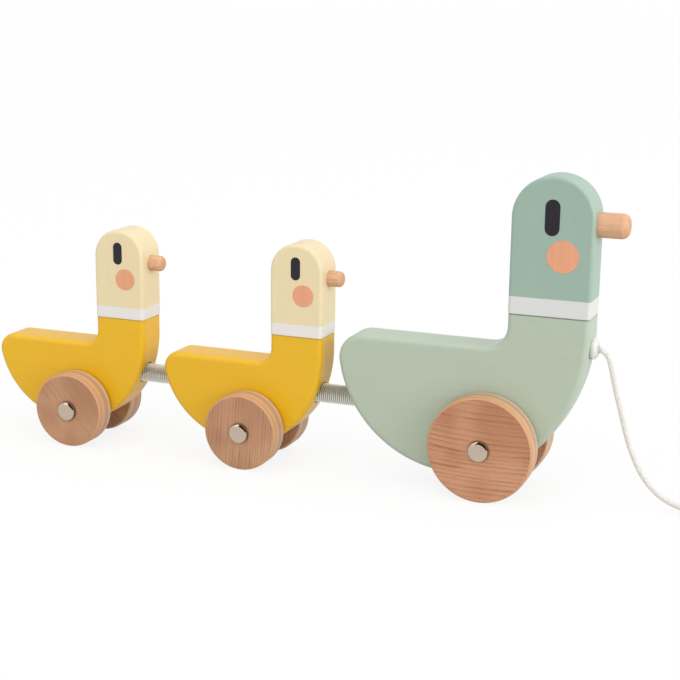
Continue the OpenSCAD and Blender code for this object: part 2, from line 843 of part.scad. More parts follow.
// The pull cord and what holds it
module cord_plug() {
    hole_r = cord_d / 2 + cord_play;
    rim = plug_out / 5;
    top_angle = acos(hole_r / (plug_d / 2));
    dome = [for (a = [0:top_angle / 8:top_angle])
        [plug_d / 2 * cos(a), rim + (plug_out - rim) * sin(a)]];
    color(COTTON)
        at_mother()
            along_x(neck_front(MOTHER), plug_z)
                rotate_extrude()
                    polygon(concat(
                        [[hole_r, -plug_stem_l], [plug_stem_d / 2, -plug_stem_l]],
                        [[plug_stem_d / 2, 0], [plug_d / 2, 0]],
                        dome,
                        [[hole_r, rim + (plug_out - rim) * sin(top_angle)]]
                    ));
}
module anchor_knot() {
    color(COTTON)
        at_mother()
            translate([neck_front(MOTHER) - plug_stem_l - cord_play - anchor_knot_d / 2, 0, plug_z])
                sphere(d = anchor_knot_d);
}
module pull_cord() {
    color(COTTON)
        at_mother()
            tube(CORD_ROUTE, [for (p = CORD_ROUTE) [0, 1, 0]], cord_d, CORD_SIDES);
}
module pull_cord_coil() {
    echo(str("Least gap in the coil: ", own_gap(coil_points, cord_d, LOOP_RINGS / 2), " mm"));
    color(COTTON)
        at_mother()
            tube(coil_points, level(coil_points), cord_d, TUBE_SIDES);
}
module coil_tie() {
    room = (coil_step + cord_d) / 2 + tie_play;
    corner = cord_d / 2 + tie_play;
    middle = coil_spot(COIL_LAYER_TURNS - 0.25);
    far = coil_spot(COIL_LAYER_TURNS - 1.25);
    color(BEECH)
        at_mother()
            translate(coil_start + [(middle[0] + far[0]) / 2, coil_r, coil_step / 2])
                rotate([90, 0, 0])
                    linear_extrude(height = tie_w, center = true)
                        difference() {
                            polygon(rounded_square(room - corner, corner + tie_t));
                            polygon(rounded_square(room - corner, corner));
                        }
}
function rounded_square(half, r) = concat(
    arc(half, half, r, 0, 90, 5),
    arc(-half, half, r, 90, 180, 5),
    arc(-half, -half, r, 180, 270, 5),
    arc(half, -half, r, 270, 360, 5)
);
module end_knot() {
    color(COTTON)
        at_mother()
            translate(coil_end + [-end_knot_d / 2, 0, 0])
                sphere(d = end_knot_d);
}

mother_body();
mother_collar();
mother_head();
mother_beak();
mother_neck_dowel();
mother_axle();
mother_wheel_right();
mother_wheel_left();
mother_hub_caps();
mother_washers();
mother_eyes();
mother_cheeks();
mother_spring_peg();
front_duckling_body();
front_duckling_collar();
front_duckling_head();
front_duckling_beak();
front_duckling_neck_dowel();
front_duckling_axle();
front_duckling_wheel_right();
front_duckling_wheel_left();
front_duckling_hub_caps();
front_duckling_washers();
front_duckling_eyes();
front_duckling_cheeks();
front_duckling_spring_pegs();
rear_duckling_body();
rear_duckling_collar();
rear_duckling_head();
rear_duckling_beak();
rear_duckling_neck_dowel();
rear_duckling_axle();
rear_duckling_wheel_right();
rear_duckling_wheel_left();
rear_duckling_hub_caps();
rear_duckling_washers();
rear_duckling_eyes();
rear_duckling_cheeks();
rear_duckling_spring_peg();
front_spring();
rear_spring();
cord_plug();
anchor_knot();
pull_cord();
pull_cord_coil();
coil_tie();
end_knot();
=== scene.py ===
from math import asin, atan2, cos, pi, radians, sin, sqrt

import bmesh
import bpy
from mathutils import Matrix, Vector


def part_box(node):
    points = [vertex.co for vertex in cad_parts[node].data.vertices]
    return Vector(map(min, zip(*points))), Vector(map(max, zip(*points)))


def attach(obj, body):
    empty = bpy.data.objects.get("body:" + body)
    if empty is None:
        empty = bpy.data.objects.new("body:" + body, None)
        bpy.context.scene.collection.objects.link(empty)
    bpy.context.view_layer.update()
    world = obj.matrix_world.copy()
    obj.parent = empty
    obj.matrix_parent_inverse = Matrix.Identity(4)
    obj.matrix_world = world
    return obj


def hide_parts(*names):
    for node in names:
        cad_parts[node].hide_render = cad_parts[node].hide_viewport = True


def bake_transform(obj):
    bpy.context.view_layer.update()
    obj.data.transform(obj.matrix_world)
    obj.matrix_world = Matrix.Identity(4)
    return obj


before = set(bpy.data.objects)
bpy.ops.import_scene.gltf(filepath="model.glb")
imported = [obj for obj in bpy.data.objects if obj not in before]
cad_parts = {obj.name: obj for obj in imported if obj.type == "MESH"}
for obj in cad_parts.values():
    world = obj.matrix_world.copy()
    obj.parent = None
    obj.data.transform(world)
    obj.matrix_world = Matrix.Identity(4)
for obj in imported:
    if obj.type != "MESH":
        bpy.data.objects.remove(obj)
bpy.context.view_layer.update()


# Camera: stands ahead of the train and to its right, a little above the mother's head, and
# looks back and down along the ducks through a long lens.
axle_low, axle_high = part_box("mother_axle")
mother_floor = Vector(((axle_low.x + axle_high.x) / 2, 0, 0))
CAMERA_STAND = Vector((0.1947, -0.7316, 0.2626))
CAMERA_YAW = 0.36794
CAMERA_PITCH = -0.23642
CAMERA_ROLL = 0.0126
CAMERA_LENS = 78.0

turn = (
    Matrix.Rotation(CAMERA_YAW, 3, "Z")
    @ Matrix.Rotation(pi / 2 + CAMERA_PITCH, 3, "X")
    @ Matrix.Rotation(CAMERA_ROLL, 3, "Z")
)
bpy.ops.object.camera_add(location=mother_floor + CAMERA_STAND, rotation=turn.to_euler())
camera = bpy.context.object
camera.data.lens = CAMERA_LENS
bpy.context.scene.camera = camera
bpy.context.scene.view_settings.view_transform = "Standard"


# Bodies: each duck's body is sawn from a thick beech board, sanded round along its edges, drilled
# for the axle, the neck dowel, the springs and the cord plug, and rolled with matt water paint.
# The long grain runs from tail to chest and still shows faintly through the paint.
BOARD_T = 0.022
EDGE_R = 0.003
EDGE_STEPS = 6
SEAM_BREAK = 0.0004
SEAM_STEPS = 2
AXLE_BORE_R = 0.0025
DOWEL_BORE_R = 0.00405
DOWEL_DEPTH = 0.011
SPRING_Z = 0.0428
SPRING_BORE_R = 0.006
SPRING_DEPTH = 0.009
PLUG_BORE_R = 0.00405
PLUG_BORE_DEPTH = 0.0179
PLUG_Z = 0.0829
SMOOTH_ANGLE = radians(35)
TAIL_STEPS = 16
BELLY_STEPS = 64
CHEST_STEPS = 20
HOLLOW_STEPS = 14
BIT_SIDES = 64
PENCIL_DOT = 0.001
TOUCH = 1e-6


class Duck:
    """Where one duck's pieces lie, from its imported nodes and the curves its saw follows."""

    def __init__(
        self, name, belly_r, belly_back, belly_clear, back_rise, tail_r, chest_rise, fillet_r
    ):
        self.name = name
        low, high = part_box(name + "_axle")
        self.x = (low.x + high.x) / 2
        self.axle_z = (low.z + high.z) / 2
        low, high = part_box(name + "_collar")
        self.rear, self.front = low.x, high.x
        self.collar_z, self.head_z = low.z, high.z
        self.middle = (self.rear + self.front) / 2
        self.width = self.front - self.rear
        self.dome_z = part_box(name + "_head")[1].z - self.width / 2
        self.belly_r, self.tail_r, self.fillet_r = belly_r, tail_r, fillet_r
        self.belly = Vector((self.x - belly_back, 0, belly_clear + belly_r))
        self.back_z = self.belly.z + back_rise
        drop = self.back_z - tail_r - self.belly.z
        reach = sqrt((belly_r - tail_r) ** 2 - drop**2)
        self.tail = self.belly + Vector((-reach, 0, drop))
        self.tail_turn = 2 * pi + atan2(drop, -reach)
        lead = self.front - self.belly.x - belly_r
        self.chest_r = belly_r + lead / 2 + chest_rise**2 / (2 * lead)
        self.chest = Vector((self.front - self.chest_r, 0, self.belly.z + chest_rise))
        self.chest_turn = atan2(-chest_rise, self.belly.x - self.chest.x)

    def tail_at(self, z):
        """Where the rear of the body lies at a height."""
        if z > self.belly.z + self.belly_r * sin(self.tail_turn):
            return self.tail.x - sqrt(self.tail_r**2 - (z - self.tail.z) ** 2)
        return self.belly.x - sqrt(self.belly_r**2 - (z - self.belly.z) ** 2)

    def chest_at(self, z):
        """Where the front of the body lies at a height."""
        if z > self.belly.z + self.belly_r * sin(self.chest_turn):
            return self.chest.x + sqrt(self.chest_r**2 - (z - self.chest.z) ** 2)
        return self.belly.x + sqrt(self.belly_r**2 - (z - self.belly.z) ** 2)


MOTHER_SAW = {
    "belly_r": 0.0658,
    "belly_back": 0.0191,
    "belly_clear": 0.0093,
    "back_rise": 0.0054,
    "tail_r": 0.0135,
    "chest_rise": 0.0165,
    "fillet_r": 0.012,
}
DUCKLING_SAW = {
    "belly_r": 0.0482,
    "belly_back": 0.007,
    "belly_clear": 0.0108,
    "back_rise": 0.0006,
    "tail_r": 0.0095,
    "chest_rise": 0.007,
    "fillet_r": 0.008,
}
mother = Duck("mother", **MOTHER_SAW)
front = Duck("front_duckling", **DUCKLING_SAW)
rear = Duck("rear_duckling", **DUCKLING_SAW)
ducks = [mother, front, rear]
rear_shift = Vector((rear.x - front.x, 0, 0))


def pencil_down(name, place):
    """Starts a piece as one point, from which its outline is drawn in edit mode."""
    bpy.ops.object.select_all(action="DESELECT")
    bpy.ops.mesh.primitive_plane_add(size=PENCIL_DOT)
    piece = bpy.context.object
    piece.name = name
    bpy.ops.object.mode_set(mode="EDIT")
    bpy.ops.mesh.select_mode(type="VERT")
    bpy.ops.mesh.merge(type="CENTER")
    bpy.ops.transform.translate(value=place)
    return piece


def draw_line(x=0.0, y=0.0, z=0.0):
    """Draws on from the last point in a straight line."""
    bpy.ops.mesh.extrude_vertices_move(TRANSFORM_OT_translate={"value": (x, y, z)})


def draw_arc(centre, angle, steps, axis=(0, 1, 0)):
    """Draws on from the last point along an arc."""
    bpy.ops.mesh.spin(steps=steps, angle=angle, center=centre, axis=axis)


def saw_board():
    """Closes the outline, fills it and gives it the board's thickness, even about the middle."""
    bpy.ops.mesh.select_all(action="SELECT")
    bpy.ops.mesh.remove_doubles(threshold=TOUCH)
    bpy.ops.mesh.edge_face_add()
    bpy.ops.transform.translate(value=(0, -BOARD_T / 2, 0))
    bpy.ops.mesh.extrude_region_move(TRANSFORM_OT_translate={"value": (0, BOARD_T, 0)})
    bpy.ops.mesh.select_all(action="SELECT")
    bpy.ops.mesh.normals_make_consistent(inside=False)


def pick_edges(piece, wanted):
    """Selects the edges whose two ends wanted() accepts."""
    bpy.ops.mesh.select_mode(type="EDGE")
    bpy.ops.mesh.select_all(action="DESELECT")
    mesh = bmesh.from_edit_mesh(piece.data)
    for edge in mesh.edges:
        edge.select_set(wanted(edge.verts[0].co, edge.verts[1].co))
    bmesh.update_edit_mesh(piece.data)


def sand_edges(radius, steps):
    bpy.ops.mesh.bevel(offset=radius, segments=steps, profile=0.5, clamp_overlap=False)


def activate(piece):
    bpy.ops.object.select_all(action="DESELECT")
    piece.select_set(True)
    bpy.context.view_layer.objects.active = piece


def drill(piece, radius, start, end):
    """Bores a round hole through the piece from start to end."""
    way = Vector(end) - Vector(start)
    bpy.ops.object.select_all(action="DESELECT")
    bpy.ops.mesh.primitive_cylinder_add(
        vertices=BIT_SIDES,
        radius=radius,
        depth=way.length,
        location=(Vector(start) + Vector(end)) / 2,
        rotation=way.to_track_quat("Z", "Y").to_euler(),
    )
    bit = bpy.context.object
    activate(piece)
    bpy.ops.object.modifier_add(type="BOOLEAN")
    cut = piece.modifiers[-1]
    cut.operation = "DIFFERENCE"
    cut.solver = "EXACT"
    cut.object = bit
    bpy.ops.object.modifier_apply(modifier=cut.name)
    bpy.data.objects.remove(bit)


def smooth(piece):
    """Round faces shade smoothly and flat ones stay flat, with crisp edges between them."""
    activate(piece)
    bpy.ops.object.shade_smooth_by_angle(angle=SMOOTH_ANGLE)
    bpy.ops.object.modifier_add(type="WEIGHTED_NORMAL")
    piece.modifiers[-1].keep_sharp = True
    bpy.ops.object.modifier_apply(modifier=piece.modifiers[-1].name)


def copy_piece(piece, name, shift):
    twin = piece.copy()
    twin.data = piece.data.copy()
    twin.name = name
    bpy.context.collection.objects.link(twin)
    twin.data.transform(Matrix.Translation(shift))
    return twin


def saw_body(duck):
    """The body's board: tail, belly, chest, neck and the hollow down to the back."""
    top_z = duck.collar_z
    piece = pencil_down(duck.name + "_painted_body", duck.tail + Vector((0, 0, duck.tail_r)))
    draw_arc(duck.tail, duck.tail_turn - pi / 2, TAIL_STEPS)
    draw_arc(duck.belly, 2 * pi + duck.chest_turn - duck.tail_turn, BELLY_STEPS)
    draw_arc(duck.chest, -duck.chest_turn, CHEST_STEPS)
    draw_line(z=top_z - duck.chest.z)
    draw_line(x=-duck.width)
    draw_line(z=duck.back_z + duck.fillet_r - top_z)
    hollow = Vector((duck.rear - duck.fillet_r, 0, duck.back_z + duck.fillet_r))
    draw_arc(hollow, -pi / 2, HOLLOW_STEPS)
    draw_line(x=duck.tail.x - hollow.x)
    saw_board()

    def on_a_face(a, b):
        return abs(abs(a.y) - BOARD_T / 2) < TOUCH and abs(a.y - b.y) < TOUCH

    def at_top(a, b):
        return min(a.z, b.z) > top_z - TOUCH

    pick_edges(piece, lambda a, b: on_a_face(a, b) and not at_top(a, b))
    sand_edges(EDGE_R, EDGE_STEPS)
    pick_edges(piece, at_top)
    sand_edges(SEAM_BREAK, SEAM_STEPS)
    bpy.ops.object.mode_set(mode="OBJECT")
    return piece


def drill_body(piece, duck, chest_spring, tail_spring):
    """Bores for the axle, the neck dowel and the springs that the duck has."""
    side = BOARD_T
    drill(piece, AXLE_BORE_R, (duck.x, -side, duck.axle_z), (duck.x, side, duck.axle_z))
    neck = Vector((duck.middle, 0, duck.collar_z))
    drill(piece, DOWEL_BORE_R, neck - Vector((0, 0, DOWEL_DEPTH)), neck + Vector((0, 0, side)))
    if tail_spring:
        start = duck.tail_at(SPRING_Z)
        deep = (start + SPRING_DEPTH, 0, SPRING_Z)
        drill(piece, SPRING_BORE_R, (start - side, 0, SPRING_Z), deep)
    if chest_spring:
        start = duck.chest_at(SPRING_Z)
        deep = (start - SPRING_DEPTH, 0, SPRING_Z)
        drill(piece, SPRING_BORE_R, deep, (start + side, 0, SPRING_Z))


mother_body = saw_body(mother)
front_body = saw_body(front)
rear_body = copy_piece(front_body, "rear_duckling_painted_body", rear_shift)
drill_body(mother_body, mother, chest_spring=False, tail_spring=True)
plug_deep = (mother.front - PLUG_BORE_DEPTH, 0, PLUG_Z)
drill(mother_body, PLUG_BORE_R, plug_deep, (mother.front + BOARD_T, 0, PLUG_Z))
drill_body(front_body, front, chest_spring=True, tail_spring=True)
drill_body(rear_body, rear, chest_spring=True, tail_spring=False)


class Wire:
    """A socket in a finish's nodes. Arithmetic on it adds Math nodes, node() any other node."""

    def __init__(self, tree, socket=None):
        self.tree, self.socket = tree, socket

    def node(self, kind, settings=None, inputs=None, output=0):
        made = self.tree.nodes.new("ShaderNode" + kind)
        for key, value in (settings or {}).items():
            setattr(made, key, value)
        for key, value in (inputs or {}).items():
            self.feed(made.inputs[key], value)
        return Wire(self.tree, made.outputs[output])

    def feed(self, socket, value):
        if isinstance(value, Wire):
            self.tree.links.new(value.socket, socket)
        else:
            socket.default_value = value

    def maths(self, operation, *values):
        return self.node("Math", {"operation": operation}, dict(enumerate(values)))

    def mix(self, share, first, second):
        settings = {"data_type": "RGBA"}
        return self.node("Mix", settings, {0: share, 6: first, 7: second}, output=2)

    def between(self, low, high):
        """Rises from 0 to 1 as the value goes from low to high, and stays there."""
        settings = {"interpolation_type": "SMOOTHSTEP"}
        return self.node("MapRange", settings, {0: self, 1: low, 2: high})

    def noise(self, place, scale, detail=2.0, roughness=0.5):
        inputs = {"Vector": place, "Scale": scale, "Detail": detail, "Roughness": roughness}
        return self.node("TexNoise", None, inputs)

    def stretch(self, place, by):
        return self.node("VectorMath", {"operation": "MULTIPLY"}, {0: place, 1: by})

    def axis(self, vector, name):
        return self.node("SeparateXYZ", None, {0: vector}, output=name)

    def __add__(self, other):
        return self.maths("ADD", self, other)

    def __sub__(self, other):
        return self.maths("SUBTRACT", self, other)

    def __rsub__(self, other):
        return self.maths("SUBTRACT", other, self)

    def __mul__(self, other):
        return self.maths("MULTIPLY", self, other)

    def __truediv__(self, other):
        return self.maths("DIVIDE", self, other)

    def __rtruediv__(self, other):
        return self.maths("DIVIDE", other, self)

    __radd__ = __add__
    __rmul__ = __mul__


def shade(code, light=1.0):
    """A colour written as on a paint chart, made linear; light darkens or lightens it."""
    values = [int(code[i : i + 2], 16) / 255 for i in (1, 3, 5)]
    linear = [v / 12.92 if v <= 0.04045 else ((v + 0.055) / 1.055) ** 2.4 for v in values]
    return tuple(min(1.0, v * light) for v in linear) + (1.0,)


def finish(name, **constants):
    """A new finish: its material, its shader and a first wire to draw nodes from."""
    material = bpy.data.materials.new(name)
    material.use_nodes = True
    shader = material.node_tree.nodes["Principled BSDF"]
    for key, value in constants.items():
        shader.inputs[key.replace("_", " ")].default_value = value
    return material, shader, Wire(material.node_tree)


def relief(wire, shader, height, depth):
    """Raises the surface by a height from 0 to 1 over depth metres."""
    bump = wire.node("Bump", None, {"Height": height, "Distance": depth, "Strength": 1.0})
    wire.feed(shader.inputs["Normal"], bump)


GRAIN_ALONG_X = (1.0, 40.0, 40.0)
GRAIN_ALONG_Z = (40.0, 40.0, 1.0)
# The painted shade under a glued joint: how high its dark band reaches, and its share on the faces
# ahead and behind.
SEAM_SHADE_LINE = 0.0007
SEAM_SHADE_FRONT = 0.35


def water_paint(name, code, grain, seam_z=None, seam_shade=1.0):
    """Matt paint over long grain: soft streaks, a roller's stipple and a faint cloudiness. Where
    seam_z is given, the joint's shade is painted just below it as a dark band, in full on the
    flat sides and in part on the faces ahead and behind."""
    material, shader, wire = finish(name)
    place = wire.node("TexCoord", output="Object")
    along = wire.stretch(place, grain)
    streaks = wire.noise(along, 16.0, detail=3.0, roughness=0.6)
    fibres = wire.noise(along, 55.0, detail=2.0)
    pores = fibres.between(0.58, 0.72) * streaks.between(0.45, 0.6)
    cloud = wire.noise(place, 22.0)
    stipple = wire.noise(place, 900.0, detail=1.0)
    colour = wire.mix(streaks.between(0.3, 0.7), shade(code, 0.975), shade(code, 1.02))
    colour = wire.mix(cloud.between(0.3, 0.7) * 0.5, colour, shade(code, 0.97))
    colour = wire.mix(pores * 0.35, colour, shade(code, 0.8))
    # Painted shade: a dark band just under seam_z, full on the flat sides and weaker elsewhere.
    if seam_z:
        facing = wire.axis(wire.node("NewGeometry", output="Normal"), "Y")
        sideways = facing.maths("ABSOLUTE", facing).between(0.3, 0.6)
        side_shade = SEAM_SHADE_FRONT + (1 - SEAM_SHADE_FRONT) * sideways
        seam_shadow = wire.axis(place, "Z").between(seam_z - SEAM_SHADE_LINE, seam_z - SEAM_SHADE_LINE / 2)
        colour = wire.mix(seam_shadow * side_shade * seam_shade, colour, shade(code, 0.4))
    wire.feed(shader.inputs["Base Color"], colour)
    wire.feed(shader.inputs["Roughness"], 0.3 + 0.1 * stipple + 0.05 * streaks)
    relief(wire, shader, streaks * 0.5 + stipple * 0.35 - pores * 0.5, 0.00005)
    return material


# Both body paints carry the painted shade under the collar, the yellow one at half strength.
sage_paint = water_paint("sage_paint", "#b1beaa", GRAIN_ALONG_X, mother.collar_z)
yellow_paint = water_paint("yellow_paint", "#e5b20c", GRAIN_ALONG_X, front.collar_z, seam_shade=0.5)
body_paints = [
    ("sage_paint", sage_paint),
    ("yellow_paint", yellow_paint),
    ("yellow_paint", yellow_paint),
]


def fit(piece, body, slot, material, *nodes):
    """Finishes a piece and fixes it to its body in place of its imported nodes."""
    piece.data.materials.clear()
    piece.data.materials.append(material)
    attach(piece, body)
    if nodes:
        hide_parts(*nodes)


for duck, piece, (slot, paint) in zip(ducks, [mother_body, front_body, rear_body], body_paints):
    smooth(piece)
    fit(piece, duck.name, slot, paint, duck.name + "_body")


# Axles and washers: a drawn steel rod pressed through each body, and a nylon washer on both sides
# that keeps the wheels off the paint. They stay as packed, and only their finish is made here.
def drawn_steel(name, code, roughness):
    """Bright drawn metal with fine scratches round it."""
    material, shader, wire = finish(name, Metallic=1.0)
    place = wire.node("TexCoord", output="Object")
    scratches = wire.noise(wire.stretch(place, (300.0, 3000.0, 300.0)), 1.0, detail=3.0)
    colour = wire.mix(scratches, shade(code, 0.85), shade(code, 1.1))
    wire.feed(shader.inputs["Base Color"], colour)
    wire.feed(shader.inputs["Roughness"], roughness + 0.12 * scratches)
    return material


def moulded_nylon():
    """Milky nylon with a faint moulded grain."""
    material, shader, wire = finish("nylon")
    grain = wire.noise(wire.node("TexCoord", output="Object"), 1500.0)
    wire.feed(shader.inputs["Base Color"], wire.mix(grain, shade("#d9d6ce"), shade("#e9e7e1")))
    wire.feed(shader.inputs["Roughness"], 0.4 + 0.2 * grain)
    relief(wire, shader, grain, 0.00002)
    return material


def dress_node(name, material):
    """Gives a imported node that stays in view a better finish."""
    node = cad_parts[name]
    node.data.materials.clear()
    node.data.materials.append(material)


axle_steel = drawn_steel("axle_steel", "#a9a9a4", 0.25)
nylon = moulded_nylon()
for duck in ducks:
    dress_node(duck.name + "_axle", axle_steel)
    dress_node(duck.name + "_washers", nylon)


# Wheels: turned from an open-grained hardwood board, with the rims just broken, and oiled. They run
# loose on the axle. Each is cut at another angle, so the long grain lies differently on each face.
WHEEL_OUT = 0.025
RIM_R = 0.0015
WHEEL_BORE_R = 0.00256
RIM_STEPS = 5
WHEEL_STEPS = 128


def turn_round(centre, axis, steps):
    """Turns the drawn profile once round an axis and closes it."""
    bpy.ops.mesh.select_all(action="SELECT")
    bpy.ops.mesh.spin(steps=steps, angle=2 * pi, center=centre, axis=axis)
    bpy.ops.mesh.select_all(action="SELECT")
    bpy.ops.mesh.remove_doubles(threshold=TOUCH)
    bpy.ops.mesh.normals_make_consistent(inside=False)
    bpy.ops.object.mode_set(mode="OBJECT")


def turn_wheel(duck, side):
    """A wheel's profile from bore to rim and back, turned round the axle."""
    low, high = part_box(f"{duck.name}_wheel_{side}")
    radius = (high.z - low.z) / 2
    hub = Vector((duck.x, low.y, duck.axle_z))
    rim = radius - RIM_R
    thick = high.y - low.y
    piece = pencil_down(f"{duck.name}_oiled_wheel_{side}", hub + Vector((0, 0, WHEEL_BORE_R)))
    draw_line(z=rim - WHEEL_BORE_R)
    draw_arc(hub + Vector((0, RIM_R, rim)), pi / 2, RIM_STEPS, axis=(1, 0, 0))
    draw_line(y=thick - 2 * RIM_R)
    draw_arc(hub + Vector((0, thick - RIM_R, rim)), pi / 2, RIM_STEPS, axis=(1, 0, 0))
    draw_line(z=WHEEL_BORE_R - rim)
    draw_line(y=-thick)
    turn_round(hub, (0, 1, 0), WHEEL_STEPS)
    smooth(piece)
    return piece


RING_SWAY = 0.9
RING_CROWD = 1.6
# How much the wheel face darkens across the grain, to one side of the hub.
ACROSS_TINT = 6.0
# Painted shadow round the hub cap: the radius where its dark ring begins to fade, and where it is
# gone.
HUB_SHADE = (0.0055, 0.0064)
# Painted light across the tread: where the grey-pink painted sheen line starts and ends, then the
# rim's darker tone.
SHEEN_LINE_START = (0.0152, 0.0160)
SHEEN_LINE_END = (0.0188, 0.0198)
TREAD_RIM = (0.0205, 0.0240)


def oiled_wood(name, centre, grain_turn, bow, ring_gap, pale, deep):
    """Hardwood sawn along the grain: each year's ring darkens slowly and ends at once, with fine
    fibres and short flecks between, a face that darkens across the grain, a tread painted in bands
    of light with a grey-pink painted sheen line, and a painted shadow round the hub cap."""
    material, shader, wire = finish(name)
    place = wire.node("TexCoord", output="Object")
    moved = wire.node("VectorMath", {"operation": "SUBTRACT"}, {0: place, 1: centre})
    about_axle = {"rotation_type": "Y_AXIS"}
    turned = wire.node("VectorRotate", about_axle, {"Vector": moved, "Angle": grain_turn})
    along = wire.axis(turned, "X")
    across = wire.axis(turned, "Z")
    sway = wire.noise(wire.stretch(turned, (16.0, 16.0, 60.0)), 1.0, detail=1.0) - 0.5
    crowd = wire.noise(wire.stretch(turned, (4.0, 4.0, 0.35 / ring_gap)), 1.0, detail=1.0) - 0.5
    years = (across - along * along * bow) / ring_gap + sway * RING_SWAY + crowd * RING_CROWD
    year = years.maths("FLOOR", years)
    season = years - year
    strength = wire.noise(wire.node("CombineXYZ", None, {"X": year * 7.3}), 1.0).between(0.35, 0.7)
    patches = wire.noise(wire.stretch(turned, (60.0, 60.0, 0.5 / ring_gap)), 1.0, detail=1.0)
    faded = patches.between(0.3, 0.65)
    late = season.between(0.25, 0.92) * (1 - season.between(0.93, 1.0))
    fibres = wire.noise(wire.stretch(turned, (90.0, 1500.0, 1500.0)), 1.0, detail=2.0)
    dashes = wire.noise(wire.stretch(turned, (420.0, 2400.0, 2400.0)), 1.0, detail=1.0)
    flecks = dashes.between(0.6, 0.72)
    blotch = wire.noise(moved, 45.0, detail=1.0).between(0.35, 0.65)
    # The face darkens steadily across the grain to one side, towards the top on the mother's
    # wheels.
    face = wire.mix(0.3 * fibres + 0.35 * blotch + across * ACROSS_TINT, shade(pale), shade(deep))
    ring = late * (0.25 + 0.75 * strength) * (0.35 + 0.65 * faded)
    face = wire.mix(ring, face, shade(deep, 0.86))
    side = wire.axis(place, "Y")
    out = side.maths("ABSOLUTE", side)
    # Painted light in bands across the tread: a pale lit band by the body, a grey-pink painted
    # sheen line, then the tread's own tone, darker towards the outer rim.
    tread_light_bands = wire.mix(out.between(*SHEEN_LINE_START), shade("#d6b696"), shade("#b5957f"))
    tread_light_bands = wire.mix(out.between(*SHEEN_LINE_END), tread_light_bands, shade("#dca981"))
    tread_light_bands = wire.mix(out.between(*TREAD_RIM), tread_light_bands, shade("#c8986d"))
    tread_light_bands = wire.mix(fibres * 0.4, tread_light_bands, shade("#cb9c74"))
    facing = wire.axis(wire.node("NewGeometry", output="Normal"), "Y")
    turned_side = 1 - facing.maths("ABSOLUTE", facing).between(0.93, 0.985)
    colour = wire.mix(turned_side, face, tread_light_bands)
    colour = wire.mix(flecks * 0.25, colour, shade(deep, 0.6))
    # Painted shadow: a dark ring on the wood just round the hub cap.
    flat = wire.stretch(moved, (1.0, 0.0, 1.0))
    reach = wire.node("VectorMath", {"operation": "LENGTH"}, {0: flat}, output="Value")
    colour = wire.mix((1 - reach.between(*HUB_SHADE)) * 0.6, colour, shade(deep, 0.4))
    wire.feed(shader.inputs["Base Color"], colour)
    wire.feed(shader.inputs["Roughness"], 0.45 + 0.2 * fibres)
    relief(wire, shader, fibres * 0.6 - flecks * 0.5 - late * 0.3, 0.00006)
    return material


WHEEL_GRAIN = {
    "mother": {
        "grain_turn": radians(-1.2),
        "bow": 1.6,
        "ring_gap": 0.0025,
        "pale": "#ce9873",
        "deep": "#a36745",
    },
    "front_duckling": {
        "grain_turn": radians(86),
        "bow": 0.5,
        "ring_gap": 0.0017,
        "pale": "#c69774",
        "deep": "#a06a49",
    },
    "rear_duckling": {
        "grain_turn": radians(-48),
        "bow": 0.4,
        "ring_gap": 0.0012,
        "pale": "#c59673",
        "deep": "#9f6a4a",
    },
}
for duck in ducks:
    hub = (duck.x, 0, duck.axle_z)
    wheel_wood = oiled_wood(duck.name + "_wheel_wood", hub, **WHEEL_GRAIN[duck.name])
    for side in ("right", "left"):
        wheel = turn_wheel(duck, side)
        node = f"{duck.name}_wheel_{side}"
        fit(wheel, node, "wheel_wood", wheel_wood, node)


# Hub caps: pressed nickel-plated caps, knocked on to the ends of the axles to hold the wheels. Each
# has a slightly domed end, a rolled edge and a hollow that grips the axle.
CAP_ROLL_R = 0.0021
CAP_ROLL = radians(40)
CAP_CROWN = 0.0003
CAP_ROOF = 0.0008
CAP_GAP = 0.0002
CAP_STEPS = 8
LATHE_STEPS = 64


def turn_caps(duck):
    """One cap's half section, turned round the axle, and its twin on the other side."""
    low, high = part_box(duck.name + "_hub_caps")
    radius = (high.z - low.z) / 2
    rod = AXLE_BORE_R
    inner = WHEEL_OUT + CAP_GAP
    end = Vector((duck.x, low.y, duck.axle_z))
    height = -inner - low.y
    piece = pencil_down(duck.name + "_pressed_hub_caps", end)
    flat = radius - CAP_ROLL_R * sin(CAP_ROLL)
    dome_r = (flat**2 + CAP_CROWN**2) / (2 * CAP_CROWN)
    draw_arc(end + Vector((0, dome_r, 0)), asin(flat / dome_r), CAP_STEPS, axis=(1, 0, 0))
    roll = end + Vector((0, CAP_CROWN + CAP_ROLL_R, flat))
    draw_arc(roll, CAP_ROLL, CAP_STEPS, axis=(1, 0, 0))
    draw_line(y=height - CAP_CROWN - CAP_ROLL_R * (1 - cos(CAP_ROLL)))
    draw_line(z=rod - radius)
    draw_line(y=CAP_ROOF - height)
    draw_line(z=-rod)
    turn_round(end, (0, 1, 0), LATHE_STEPS)
    bpy.ops.object.mode_set(mode="EDIT")
    bpy.ops.mesh.select_all(action="SELECT")
    bpy.ops.mesh.duplicate()
    bpy.ops.transform.rotate(value=pi, orient_axis="Z", center_override=(duck.x, 0, duck.axle_z))
    bpy.ops.object.mode_set(mode="OBJECT")
    smooth(piece)
    return piece


def nickel_plate():
    """Bright nickel, a little warm, with fine turning marks and a soft cloudiness."""
    material, shader, wire = finish("nickel", Metallic=1.0)
    place = wire.node("TexCoord", output="Object")
    marks = wire.noise(wire.stretch(place, (2500.0, 200.0, 2500.0)), 1.0, detail=2.0)
    cloud = wire.noise(place, 250.0)
    wire.feed(shader.inputs["Base Color"], wire.mix(cloud, shade("#bbaa9a"), shade("#c5b5a5")))
    wire.feed(shader.inputs["Roughness"], 0.08 + 0.06 * marks)
    relief(wire, shader, marks, 0.000004)
    return material


